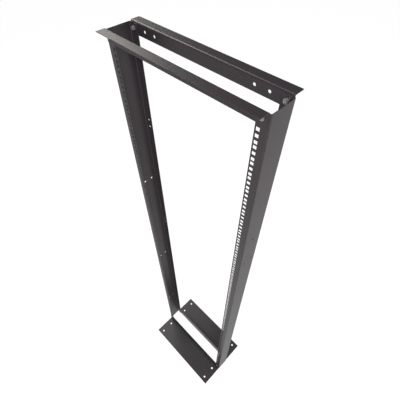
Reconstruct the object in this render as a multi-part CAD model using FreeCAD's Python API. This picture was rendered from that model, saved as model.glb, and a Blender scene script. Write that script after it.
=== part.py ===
import FreeCAD, Part
import os

from FreeCAD import Vector

# Two post open frame rack for equipment 19 inches wide, folded from sheet steel.
# Two channels stand between two pairs of angles: a narrow pair joins their heads, and a wide
# pair stands on the floor and carries the anchor holes. All lengths are in millimetres.
# X runs across the rack, Y from front to rear and Z up. The origin is on the floor, in the
# middle of the footprint.

# Sheet
sheet = 1.5
bend_inside = 2.6
bend_outside = bend_inside + sheet

# Posts
opening = 450.0
flange = 31.5
post_depth = 76.2

# Angles across the heads
top_ledge = 28.7
top_leg = 32.7
top_end_gap = 3.8

# Angles on the floor
base_plate = 135.5
base_leg = 70.8
base_end_gap = 1.8

# Square holes for cage nuts, in the standard pitch of 5/8, 5/8 and 1/2 inch
units = 45
unit_height = 44.45
hole_step = 15.875
square_hole = 9.5
rail_inset = 7.55
base_margin = 31.0
top_margin = 8.05

# Bolts at the corners, and the line of holes that they share with the angles
bolt_hole = 9.0
bolt_edge = 16.8

# Round holes in the legs of the angles across the heads
ladder_hole = 7.7
ladder_edge = 15.8
ladder_inset = 28.15
ladder_pitch = 38.1

# Anchor holes in the plates on the floor
anchor_hole = 12.0
anchor_near = 33.3
anchor_far_edge = 26.5
anchor_end = 34.7

# Pairs of holes side by side in the webs, where racks in a row are joined
web_hole = 7.7
web_pair = 31.8
web_foot = 369.5
web_pitch = 597.0

# Hole for an earth lead, in the right web only, above the highest pair
earth_rise = 131.0

# Pairs of holes one above the other in the rear flanges, for a cable bracket
rear_hole = 6.5
rear_pair = 27.5
rear_inset = 17.1
rear_foot = 1265.4
rear_pitch = 560.4

# Places that follow from the sizes above
half_width = opening / 2 + flange
post_face = post_depth / 2
rail_x = opening / 2 + rail_inset
bolt_x = opening / 2 + flange / 2
rail_foot = base_leg + base_margin
rail_head = rail_foot + units * unit_height
rack_height = rail_head + top_margin + top_leg
post_height = rack_height - bend_outside
top_bolt_z = rack_height - top_leg + bolt_edge
ladder_z = rack_height - top_leg + ladder_edge
base_bolt_z = base_leg - bolt_edge
cut_over = 1.0


def folded_sheet(corners, sweep):
    """Sheet folded at right angles: its outer side runs through the corners, then it is swept."""
    ways = [(b - a).normalize() for a, b in zip(corners, corners[1:])]
    last = corners[-1]
    ends = ((corners[0], last), (corners[0] + ways[1] * sheet, last - ways[-2] * sheet))
    edges = [Part.LineSegment(ends[0][i], ends[1][i]).toShape() for i in (0, 1)]
    for radius, (start, end) in zip((bend_outside, bend_inside), ends):
        for corner, way, turn in zip(corners[1:-1], ways, ways[1:]):
            centre = corner + (turn - way) * bend_outside
            enter = centre - turn * radius
            middle = centre + (way - turn).normalize() * radius
            leave = centre + way * radius
            edges.append(Part.LineSegment(start, enter).toShape())
            edges.append(Part.Arc(enter, middle, leave).toShape())
            start = leave
        edges.append(Part.LineSegment(start, end).toShape())
    return Part.Face(Part.Wire(Part.__sortEdges__(edges))).extrude(sweep)


def hole_along_y(x, z, face, diameter):
    """Cutter for a round hole through the flange at Y = face and a leg laid against it."""
    inward = -1 if face > 0 else 1
    start = Vector(x, face - inward * (sheet + cut_over), z)
    return Part.makeCylinder(diameter / 2, 2 * (sheet + cut_over), start, Vector(0, inward, 0))


def hole_along_x(y, z, diameter):
    """Cutter for a round hole in the right web."""
    start = Vector(half_width + cut_over, y, z)
    return Part.makeCylinder(diameter / 2, sheet + 2 * cut_over, start, Vector(-1, 0, 0))


def hole_along_z(x, y, diameter):
    """Cutter for a round hole in a plate on the floor."""
    start = Vector(x, y, -cut_over)
    return Part.makeCylinder(diameter / 2, sheet + 2 * cut_over, start)


def rail_heights():
    """Heights of the square holes: three in each unit, the middle one on the unit's middle."""
    middles = [rail_foot + (unit + 0.5) * unit_height for unit in range(units)]
    return [middle + step for middle in middles for step in (-hole_step, 0, hole_step)]


def square_holes():
    """Cutters for the column of square holes in the front flange."""
    depth = sheet + 2 * cut_over
    low_x = rail_x - square_hole / 2
    low_y = -post_face - cut_over
    corners = [Vector(low_x, low_y, z - square_hole / 2) for z in rail_heights()]
    return [Part.makeBox(square_hole, depth, square_hole, corner) for corner in corners]


def heights_in_post(foot, pitch):
    """Heights from foot upwards, one each pitch, that still fall on the post."""
    count = int((post_height - foot) / pitch) + 1
    return [foot + step * pitch for step in range(count)]


def web_holes():
    """Cutters for the pairs of holes in the web."""
    return [
        hole_along_x(side * web_pair / 2, z, web_hole)
        for z in heights_in_post(web_foot, web_pitch)
        for side in (-1, 1)
    ]


def rear_holes():
    """Cutters for the pairs of holes in the rear flange."""
    x = half_width - rear_inset
    return [
        hole_along_y(x, z + side * rear_pair / 2, post_face, rear_hole)
        for z in heights_in_post(rear_foot, rear_pitch)
        for side in (-1, 1)
    ]


def corner_holes(x_sides, z, faces):
    """Cutters for the corner bolts: one hole for each side and each face."""
    return [hole_along_y(side * bolt_x, z, face, bolt_hole) for side in x_sides for face in faces]


def right_post(extra_holes):
    """Channel on the floor, open towards the middle of the rack, with every hole it needs."""
    corners = [
        Vector(opening / 2, -post_face, 0),
        Vector(half_width, -post_face, 0),
        Vector(half_width, post_face, 0),
        Vector(opening / 2, post_face, 0),
    ]
    channel = folded_sheet(corners, Vector(0, 0, post_height))
    faces = (-post_face, post_face)
    cutters = square_holes() + web_holes() + rear_holes() + extra_holes
    cutters += corner_holes((1,), top_bolt_z, faces) + corner_holes((1,), base_bolt_z, faces)
    return channel.cut(Part.makeCompound(cutters))


def front_top_angle():
    """Narrow angle across the front of the heads, its ledge pointing forwards."""
    half_length = half_width - top_end_gap
    corners = [
        Vector(-half_length, -post_face - top_ledge, rack_height),
        Vector(-half_length, -post_face, rack_height),
        Vector(-half_length, -post_face, rack_height - top_leg),
    ]
    angle = folded_sheet(corners, Vector(2 * half_length, 0, 0))
    first = opening / 2 - ladder_inset
    cutters = [
        hole_along_y(side * x, ladder_z, -post_face, ladder_hole)
        for side in (-1, 1)
        for x in (first, first - ladder_pitch)
    ]
    cutters += corner_holes((-1, 1), top_bolt_z, (-post_face,))
    return angle.cut(Part.makeCompound(cutters))


def front_base_angle():
    """Wide angle on the floor in front of the posts, its leg standing against their flanges."""
    half_length = half_width - base_end_gap
    corners = [
        Vector(-half_length, -post_face - base_plate, 0),
        Vector(-half_length, -post_face, 0),
        Vector(-half_length, -post_face, base_leg),
    ]
    angle = folded_sheet(corners, Vector(2 * half_length, 0, 0))
    anchor_x = half_length - anchor_end
    rows = (-post_face - anchor_near, -post_face - base_plate + anchor_far_edge)
    cutters = [hole_along_z(side * anchor_x, y, anchor_hole) for side in (-1, 1) for y in rows]
    cutters += corner_holes((-1, 1), base_bolt_z, (-post_face,))
    return angle.cut(Part.makeCompound(cutters))


def mirrored(shape, normal):
    """Copy of a shape on the other side of the rack's middle plane with that normal."""
    return shape.mirror(Vector(0, 0, 0), normal)


def earth_hole():
    """Cutter for the earth lead's hole, above the highest pair in the web."""
    return hole_along_x(0, heights_in_post(web_foot, web_pitch)[-1] + earth_rise, web_hole)


across = Vector(1, 0, 0)
through = Vector(0, 1, 0)
pieces = {
    "post_right": right_post([earth_hole()]),
    "post_left": mirrored(right_post([]), across),
    "top_angle_front": front_top_angle(),
    "top_angle_rear": mirrored(front_top_angle(), through),
    "base_angle_front": front_base_angle(),
    "base_angle_rear": mirrored(front_base_angle(), through),
}

os.makedirs("parts", exist_ok=True)
for name, piece in pieces.items():
    piece.exportStep(f"parts/{name}.step")
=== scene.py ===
import math

import bmesh
import bpy
from mathutils import Euler, Matrix, Vector

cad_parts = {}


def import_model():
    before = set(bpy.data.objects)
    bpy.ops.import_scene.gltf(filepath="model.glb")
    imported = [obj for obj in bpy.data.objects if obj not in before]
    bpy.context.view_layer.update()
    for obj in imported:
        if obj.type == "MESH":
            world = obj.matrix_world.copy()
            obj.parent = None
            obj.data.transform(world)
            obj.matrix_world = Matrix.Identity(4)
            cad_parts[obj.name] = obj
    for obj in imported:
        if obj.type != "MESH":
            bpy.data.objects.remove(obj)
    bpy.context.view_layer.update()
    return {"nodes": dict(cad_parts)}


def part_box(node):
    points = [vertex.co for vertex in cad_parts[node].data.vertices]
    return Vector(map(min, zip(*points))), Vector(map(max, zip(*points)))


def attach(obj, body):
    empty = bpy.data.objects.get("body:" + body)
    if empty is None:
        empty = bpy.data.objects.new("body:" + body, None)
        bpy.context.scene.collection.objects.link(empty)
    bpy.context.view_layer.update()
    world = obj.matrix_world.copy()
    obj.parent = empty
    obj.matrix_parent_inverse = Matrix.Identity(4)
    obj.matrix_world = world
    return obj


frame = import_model()

# The two post rack in black powder coat, with its zinc plated corner bolts, on a pale floor.
# Lengths are in metres: what is written in millimetres is multiplied by MM.
MM = 0.001

# Sizes that the drawn pieces share with the solids, read from the frame where it has them
SHEET = 1.5 * MM
FLANGE = 31.5 * MM
TOP_BOLT_BELOW_HEAD = 15.9 * MM
BASE_BOLT_HEIGHT = 54.0 * MM
post_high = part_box("post_right")[1]
rack_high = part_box("top_angle_front")[1].z
half_width = post_high.x
post_face = post_high.y
bolt_x = half_width - FLANGE / 2
top_bolt_z = rack_high - TOP_BOLT_BELOW_HEAD

# Corner bolts of 6 mm and their high nuts. They hang in larger holes, towards the middle
BOLT_RADIUS = 3.0 * MM
BOLT_INWARD = 1.3 * MM
BOLT_SAG = 0.7 * MM
BOLT_LENGTH = 10.4 * MM
HEX_ACROSS = 10.6 * MM
HEX_SPIN = math.radians(30)
HEAD_HEIGHT = 4.6 * MM
WASHER_FACE = 0.4 * MM
NUT_HEIGHT = 7.2 * MM
NUT_PLAY = 0.05 * MM
NUT_COUNTERSINK = 0.3 * MM

# Their thread. A cone cuts off its end
THREAD_DEPTH = 0.6 * MM
THREAD_PITCH = 1.27 * MM
GROOVE_SLOPE = 2.4
END_CUT = 0.6 * THREAD_DEPTH
END_SLOPE = 1.2

# Their chamfers, and how finely they are drawn
CHAMFER_SLOPE = math.tan(math.radians(19))
CHAMFER_CIRCLE = 0.47 * HEX_ACROSS
RING_POINTS = 72
RINGS_A_PITCH = 8
SHARP_FROM = math.radians(28)

# Noise in the materials mostly stays in this range
NOISE_LOW = 0.3
NOISE_HIGH = 0.7

# Wear on edges: the cosine between the rounded and the true normal where it begins, and where
# it is full
WEAR_BEGINS = 0.999
WEAR_FULL = 0.85
WEAR_SAMPLES = 6

# Powder coat. Clouds and pebbles are given as features a metre
COAT_DARK = (0.0222, 0.0179, 0.0206)
COAT_LIGHT = (0.0256, 0.0205, 0.0238)
COAT_CLOUDS = 7.0
COAT_CLOUD_DETAIL = 4.0
COAT_CLOUD_SHARE = 0.5
COAT_EDGE_RADIUS = 0.6 * MM
COAT_WEAR = 0.5
COAT_GLOSS = 0.40
COAT_ROUGH = 0.393
COAT_ROUGH_SPREAD = 0.02
COAT_PEBBLES = 1400.0
COAT_PEBBLE_DETAIL = 2.0
COAT_PEBBLE_HEIGHT = 0.03 * MM
COAT_PEBBLE_STRENGTH = 0.05

# Zinc plate. Clouds and patches are given as features a metre
ZINC_DARK = (0.27, 0.266, 0.258)
ZINC_LIGHT = (0.39, 0.39, 0.40)
ZINC_CLOUDS = 260.0
ZINC_CLOUD_SHARE = 0.6
ZINC_EDGE_RADIUS = 0.25 * MM
ZINC_WEAR = 0.4
ZINC_METALLIC = 0.8
ZINC_ROUGH_LOW = 0.42
ZINC_ROUGH_HIGH = 0.52
ZINC_ROUGH_PATCHES = 700.0

# Camera, solved from the edges and the square holes in the photograph
CAMERA_PLACE = Vector((486.5, -441.1, 2452.5)) * MM
CAMERA_TURN = (39.381, 0.273, 45.114)
CAMERA_LENS = 27.312
CAMERA_SENSOR = 36.0
CAMERA_NEAR = 0.01

# Lights: softboxes round the head of the rack, each with its bearing, height, size, watts, tint
LIGHT_AIM = Vector((0.0, 0.0, 1.6))
LIGHT_DISTANCE = 4.0
OBLONG = (1.8, 1.4)
SQUARE = (1.8, 1.8)
WHITE = (1, 1, 1)
WARM = (1, 0.965, 0.9)
SOFTBOXES = {
    "key": (165, 40, OBLONG, 64, WARM),
    "key_high": (170, 62, SQUARE, 45, WHITE),
    "key_wide": (188, 40, OBLONG, 34, WHITE),
    "fill": (315, 40, OBLONG, 205, WHITE),
    "fill_low": (300, 12, OBLONG, 52, WHITE),
    "fill_side": (330, 12, OBLONG, 6, WHITE),
    "rear_low": (45, 12, OBLONG, 75, WHITE),
}

# Floor: pale where it only lights the rack, faint under a white glow where it shows
FLOOR_SIZE = 30.0
FLOOR_PALE = (0.55, 0.55, 0.55, 1)
FLOOR_FAINT = (0.08, 0.08, 0.08, 1)
FLOOR_GLOW = 0.98
FLOOR_MIRRORED = 0.73

# Surroundings: strength as light, to the camera, and in reflections from low down to overhead
SKY_LIT = 0.03
SKY_SHOWN = 1.0
SKY_LOW = 0.25
SKY_OVERHEAD = 0.03
SKY_FADE = 0.35


def link(piece):
    """Puts an object into the scene."""
    bpy.context.scene.collection.objects.link(piece)
    return piece


def new_material(name):
    """Empty node material and the shortcuts used to fill it."""
    material = bpy.data.materials.new(name)
    material.use_nodes = True
    nodes = material.node_tree.nodes
    nodes.clear()
    return material, nodes, material.node_tree.links


def surface_material(name):
    """Node material with a surface shader, which is returned with the shortcuts."""
    material, nodes, links = new_material(name)
    shader = nodes.new("ShaderNodeBsdfPrincipled")
    output = nodes.new("ShaderNodeOutputMaterial")
    links.new(shader.outputs["BSDF"], output.inputs["Surface"])
    return material, nodes, links, shader


def noise(nodes, links, scale, detail=3.0):
    """Noise in the object's own space, so many features a metre."""
    place = nodes.new("ShaderNodeTexCoord")
    texture = nodes.new("ShaderNodeTexNoise")
    texture.inputs["Scale"].default_value = scale
    texture.inputs["Detail"].default_value = detail
    links.new(place.outputs["Object"], texture.inputs["Vector"])
    return texture.outputs["Fac"]


def spread(nodes, links, value, low, high):
    """Stretches noise over a range."""
    node = nodes.new("ShaderNodeMapRange")
    node.inputs["From Min"].default_value = NOISE_LOW
    node.inputs["From Max"].default_value = NOISE_HIGH
    node.inputs["To Min"].default_value = low
    node.inputs["To Max"].default_value = high
    links.new(value, node.inputs["Value"])
    return node.outputs["Result"]


def edge_wear(nodes, links, radius):
    """The rounded normal, and a value that is 0 on flat sheet and rises to 1 on its edges."""
    rounded = nodes.new("ShaderNodeBevel")
    rounded.samples = WEAR_SAMPLES
    rounded.inputs["Radius"].default_value = radius
    geometry = nodes.new("ShaderNodeNewGeometry")
    product = nodes.new("ShaderNodeVectorMath")
    product.operation = "DOT_PRODUCT"
    links.new(rounded.outputs["Normal"], product.inputs[0])
    links.new(geometry.outputs["Normal"], product.inputs[1])
    node = nodes.new("ShaderNodeMapRange")
    node.inputs["From Min"].default_value = WEAR_BEGINS
    node.inputs["From Max"].default_value = WEAR_FULL
    links.new(product.outputs["Value"], node.inputs["Value"])
    return rounded.outputs["Normal"], node.outputs["Result"]


def two_tone(nodes, links, clouds, edges, wear, dark, light):
    """Colour from dark to light: it follows the clouds, and is lighter on the edges."""
    worn = nodes.new("ShaderNodeMath")
    worn.operation = "MULTIPLY_ADD"
    worn.inputs[1].default_value = wear
    links.new(edges, worn.inputs[0])
    links.new(clouds, worn.inputs[2])
    ramp = nodes.new("ShaderNodeValToRGB")
    first, last = ramp.color_ramp.elements
    first.color = (*dark, 1)
    last.color = (*light, 1)
    links.new(worn.outputs[0], ramp.inputs["Fac"])
    return ramp.outputs["Color"]


def powder_coat():
    """Black powder coat on sheet steel: satin, a finely pebbled skin that thins on the edges."""
    material, nodes, links, shader = surface_material("powder_coat_black")
    shader.inputs["Specular IOR Level"].default_value = COAT_GLOSS
    rounded, edges = edge_wear(nodes, links, COAT_EDGE_RADIUS)
    clouds = noise(nodes, links, COAT_CLOUDS, COAT_CLOUD_DETAIL)
    clouds = spread(nodes, links, clouds, 0.0, COAT_CLOUD_SHARE)
    colour = two_tone(nodes, links, clouds, edges, COAT_WEAR, COAT_DARK, COAT_LIGHT)
    links.new(colour, shader.inputs["Base Color"])
    pebbles = noise(nodes, links, COAT_PEBBLES, COAT_PEBBLE_DETAIL)
    smoothest = COAT_ROUGH - COAT_ROUGH_SPREAD
    roughest = COAT_ROUGH + COAT_ROUGH_SPREAD
    rough = spread(nodes, links, pebbles, smoothest, roughest)
    links.new(rough, shader.inputs["Roughness"])
    bump = nodes.new("ShaderNodeBump")
    bump.inputs["Strength"].default_value = COAT_PEBBLE_STRENGTH
    bump.inputs["Distance"].default_value = COAT_PEBBLE_HEIGHT
    links.new(pebbles, bump.inputs["Height"])
    links.new(rounded, bump.inputs["Normal"])
    links.new(bump.outputs["Normal"], shader.inputs["Normal"])
    return material


def zinc():
    """Dull zinc plate on the bolts and nuts, a little clouded, brighter where edges are rubbed."""
    material, nodes, links, shader = surface_material("zinc_plate")
    shader.inputs["Metallic"].default_value = ZINC_METALLIC
    rounded, edges = edge_wear(nodes, links, ZINC_EDGE_RADIUS)
    clouds = noise(nodes, links, ZINC_CLOUDS)
    clouds = spread(nodes, links, clouds, 0.0, ZINC_CLOUD_SHARE)
    colour = two_tone(nodes, links, clouds, edges, ZINC_WEAR, ZINC_DARK, ZINC_LIGHT)
    links.new(colour, shader.inputs["Base Color"])
    patches = noise(nodes, links, ZINC_ROUGH_PATCHES)
    rough = spread(nodes, links, patches, ZINC_ROUGH_LOW, ZINC_ROUGH_HIGH)
    links.new(rough, shader.inputs["Roughness"])
    links.new(rounded, shader.inputs["Normal"])
    return material


def dress_frame(material):
    """Gives every carried over piece of the rack its finish."""
    for piece in frame["nodes"].values():
        for material_slot in piece.material_slots:
            material_slot.material = material


def ring(mesh, radius_at, height_at):
    """Ring of points about Z. The angle gives each radius, and the radius gives its height."""
    points = []
    for i in range(RING_POINTS):
        angle = 2 * math.pi * i / RING_POINTS
        radius = radius_at(angle)
        point = (radius * math.cos(angle), radius * math.sin(angle), height_at(radius))
        points.append(mesh.verts.new(point))
    return points


def circle(mesh, radius, height):
    """Round ring at one height."""
    return ring(mesh, lambda angle: radius, lambda distance: height)


def hex_radius(angle):
    """Distance from a hexagon's centre to its side, at an angle from one of its corners."""
    off_middle = (angle % (math.pi / 3)) - math.pi / 6
    return HEX_ACROSS / 2 / math.cos(off_middle)


def hexagon(mesh, height_at):
    """Hexagonal ring, its height worked out from the distance to the axis."""
    return ring(mesh, hex_radius, height_at)


def chamfer(radius):
    """How far a chamfered end falls away at a distance from the axis."""
    return (radius - CHAMFER_CIRCLE) * CHAMFER_SLOPE


def bridge(mesh, lower, upper):
    """Quads between two rings."""
    for i in range(RING_POINTS):
        j = (i + 1) % RING_POINTS
        mesh.faces.new((lower[i], lower[j], upper[j], upper[i]))


def finish_mesh(name, mesh, material):
    """Turns a bmesh into a smooth shaded object with sharp edges kept."""
    bmesh.ops.recalc_face_normals(mesh, faces=mesh.faces)
    data = bpy.data.meshes.new(name)
    mesh.to_mesh(data)
    mesh.free()
    data.shade_smooth()
    data.set_sharp_from_angle(angle=SHARP_FROM)
    data.materials.append(material)
    return link(bpy.data.objects.new(name, data))


def thread_ring(mesh, z):
    """Ring of the shank at one height: its radius follows the helix, inside the end's cone."""
    cone = BOLT_RADIUS - END_CUT + (z + BOLT_LENGTH) * END_SLOPE

    def radius_at(angle):
        phase = (z / THREAD_PITCH + angle / (2 * math.pi)) % 1.0
        depth = THREAD_DEPTH * (1 - min(1.0, GROOVE_SLOPE * abs(phase - 0.5)))
        return min(BOLT_RADIUS - depth, cone)

    return ring(mesh, radius_at, lambda distance: z)


def bolt_mesh(name, material):
    """Hex bolt about Z: head above Z = 0, threaded shank below, with a chamfered end."""
    mesh = bmesh.new()
    head = [
        circle(mesh, CHAMFER_CIRCLE, 0.0),
        circle(mesh, CHAMFER_CIRCLE, WASHER_FACE),
        hexagon(mesh, lambda radius: WASHER_FACE),
        hexagon(mesh, lambda radius: HEAD_HEIGHT - chamfer(radius)),
        circle(mesh, CHAMFER_CIRCLE, HEAD_HEIGHT),
    ]
    count = int(BOLT_LENGTH / THREAD_PITCH * RINGS_A_PITCH)
    shank = [thread_ring(mesh, -BOLT_LENGTH * step / count) for step in range(count + 1)]
    rings = shank[::-1] + head
    for lower, upper in zip(rings, rings[1:]):
        bridge(mesh, lower, upper)
    mesh.faces.new(reversed(rings[0]))
    mesh.faces.new(rings[-1])
    return finish_mesh(name, mesh, material)


def nut_mesh(name, material):
    """Hex nut about Z: its seat at Z = 0, both ends chamfered, countersunk round the bore."""
    mesh = bmesh.new()
    bore = BOLT_RADIUS + NUT_PLAY
    mouth = BOLT_RADIUS + NUT_COUNTERSINK
    rings = [
        circle(mesh, bore, NUT_COUNTERSINK),
        circle(mesh, mouth, 0.0),
        circle(mesh, CHAMFER_CIRCLE, 0.0),
        hexagon(mesh, chamfer),
        hexagon(mesh, lambda radius: NUT_HEIGHT - chamfer(radius)),
        circle(mesh, CHAMFER_CIRCLE, NUT_HEIGHT),
        circle(mesh, mouth, NUT_HEIGHT),
        circle(mesh, bore, NUT_HEIGHT - NUT_COUNTERSINK),
    ]
    for lower, upper in zip(rings, rings[1:] + rings[:1]):
        bridge(mesh, lower, upper)
    return finish_mesh(name, mesh, material)


def place(piece, point, outward):
    """Sets a fastener on a point, with its Z axis pointing outward along Y."""
    tilt = Matrix.Rotation(math.radians(-90 if outward > 0 else 90), 4, "X")
    spin = Matrix.Rotation(HEX_SPIN, 4, "Z")
    piece.data.transform(Matrix.Translation(point) @ tilt @ spin)
    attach(piece, "root")


def corner_bolts(material):
    """One bolt and nut at each corner: head outside the angle, nut inside the channel."""
    reach = bolt_x - BOLT_INWARD
    for height, hole_z in (("top", top_bolt_z), ("base", BASE_BOLT_HEIGHT)):
        z = hole_z - BOLT_SAG
        for row, y in (("front", -1), ("rear", 1)):
            for side, x in (("left", -1), ("right", 1)):
                bolt = bolt_mesh(f"bolt_{height}_{row}_{side}", material)
                place(bolt, Vector((x * reach, y * (post_face + SHEET), z)), y)
                nut = nut_mesh(f"nut_{height}_{row}_{side}", material)
                place(nut, Vector((x * reach, y * (post_face - SHEET), z)), -y)


def seen_directly(nodes, links):
    """1 for camera, glossy and transmission rays, else 0."""
    path = nodes.new("ShaderNodeLightPath")
    first = nodes.new("ShaderNodeMath")
    first.operation = "MAXIMUM"
    links.new(path.outputs["Is Camera Ray"], first.inputs[0])
    links.new(path.outputs["Is Glossy Ray"], first.inputs[1])
    second = nodes.new("ShaderNodeMath")
    second.operation = "MAXIMUM"
    links.new(first.outputs[0], second.inputs[0])
    links.new(path.outputs["Is Transmission Ray"], second.inputs[1])
    return second.outputs[0]


def mix_shaders(nodes, links, factor, first, second):
    """Shader that is the first where the factor is 0, and the second where it is 1."""
    mix = nodes.new("ShaderNodeMixShader")
    links.new(factor, mix.inputs["Fac"])
    links.new(first, mix.inputs[1])
    links.new(second, mix.inputs[2])
    return mix.outputs[0]


def diffuse(nodes, colour):
    """Matt shader of one colour."""
    node = nodes.new("ShaderNodeBsdfDiffuse")
    node.inputs["Color"].default_value = colour
    return node.outputs[0]


def floor_glow(nodes, links):
    """White glow, stronger to the camera than in reflections."""
    path = nodes.new("ShaderNodeLightPath")
    strength = nodes.new("ShaderNodeMapRange")
    strength.inputs["To Min"].default_value = FLOOR_MIRRORED
    strength.inputs["To Max"].default_value = FLOOR_GLOW
    links.new(path.outputs["Is Camera Ray"], strength.inputs["Value"])
    glow = nodes.new("ShaderNodeEmission")
    links.new(strength.outputs["Result"], glow.inputs["Strength"])
    return glow.outputs[0]


def floor():
    """Pale floor. Where it is seen it glows up to white, and still takes the rack's shadow."""
    data = bpy.data.meshes.new("floor")
    half = FLOOR_SIZE / 2
    corners = [(-half, -half, 0), (half, -half, 0), (half, half, 0), (-half, half, 0)]
    data.from_pydata(corners, [], [(0, 1, 2, 3)])
    piece = link(bpy.data.objects.new("floor", data))
    material, nodes, links = new_material("studio_floor")
    shown = nodes.new("ShaderNodeAddShader")
    links.new(diffuse(nodes, FLOOR_FAINT), shown.inputs[0])
    links.new(floor_glow(nodes, links), shown.inputs[1])
    pale = diffuse(nodes, FLOOR_PALE)
    surface = mix_shaders(nodes, links, seen_directly(nodes, links), pale, shown.outputs[0])
    output = nodes.new("ShaderNodeOutputMaterial")
    links.new(surface, output.inputs["Surface"])
    data.materials.append(material)


def background(nodes, strength):
    """White surroundings of one strength."""
    node = nodes.new("ShaderNodeBackground")
    node.inputs["Color"].default_value = (1, 1, 1, 1)
    node.inputs["Strength"].default_value = strength
    return node


def mirrored_sky(nodes, links):
    """Surroundings in reflections: dim low down, and fading out overhead."""
    direction = nodes.new("ShaderNodeTexCoord")
    parts = nodes.new("ShaderNodeSeparateXYZ")
    links.new(direction.outputs["Generated"], parts.inputs[0])
    fade = nodes.new("ShaderNodeMapRange")
    fade.inputs["From Min"].default_value = 0.0
    fade.inputs["From Max"].default_value = SKY_FADE
    fade.inputs["To Min"].default_value = SKY_LOW
    fade.inputs["To Max"].default_value = SKY_OVERHEAD
    links.new(parts.outputs["Z"], fade.inputs["Value"])
    sky = background(nodes, SKY_LOW)
    links.new(fade.outputs["Result"], sky.inputs["Strength"])
    return sky.outputs[0]


def world():
    """Surroundings: white to the camera, dim in reflections, and faint as light."""
    scene_world = bpy.data.worlds.new("studio")
    bpy.context.scene.world = scene_world
    scene_world.use_nodes = True
    nodes = scene_world.node_tree.nodes
    links = scene_world.node_tree.links
    nodes.clear()
    to_camera = nodes.new("ShaderNodeLightPath").outputs["Is Camera Ray"]
    lit = background(nodes, SKY_LIT).outputs[0]
    shown = background(nodes, SKY_SHOWN).outputs[0]
    seen = mix_shaders(nodes, links, to_camera, mirrored_sky(nodes, links), shown)
    surface = mix_shaders(nodes, links, seen_directly(nodes, links), lit, seen)
    output = nodes.new("ShaderNodeOutputWorld")
    links.new(surface, output.inputs["Surface"])


def softbox(name, bearing, height, size, power, tint):
    """Soft light round the rack's head: its bearing from +X and its height are in degrees."""
    data = bpy.data.lights.new(name, "AREA")
    data.shape = "RECTANGLE"
    data.size, data.size_y = size
    data.energy = power
    data.color = tint
    lamp = link(bpy.data.objects.new(name, data))
    turn = math.radians(bearing)
    rise = math.radians(height)
    level = math.cos(rise)
    way = Vector((level * math.cos(turn), level * math.sin(turn), math.sin(rise)))
    lamp.location = LIGHT_AIM + way * LIGHT_DISTANCE
    lamp.rotation_euler = (-way).to_track_quat("-Z", "Y").to_euler()


def camera():
    """Camera of the photograph: above the right front corner, looking down across the rack."""
    data = bpy.data.cameras.new("camera")
    data.sensor_width = CAMERA_SENSOR
    data.lens = CAMERA_LENS
    data.clip_start = CAMERA_NEAR
    piece = link(bpy.data.objects.new("camera", data))
    piece.location = CAMERA_PLACE
    piece.rotation_euler = Euler([math.radians(angle) for angle in CAMERA_TURN], "XYZ")
    bpy.context.scene.camera = piece


bpy.context.scene.view_settings.view_transform = "Standard"
dress_frame(powder_coat())
corner_bolts(zinc())
floor()
world()
for name, settings in SOFTBOXES.items():
    softbox(name, *settings)
camera()
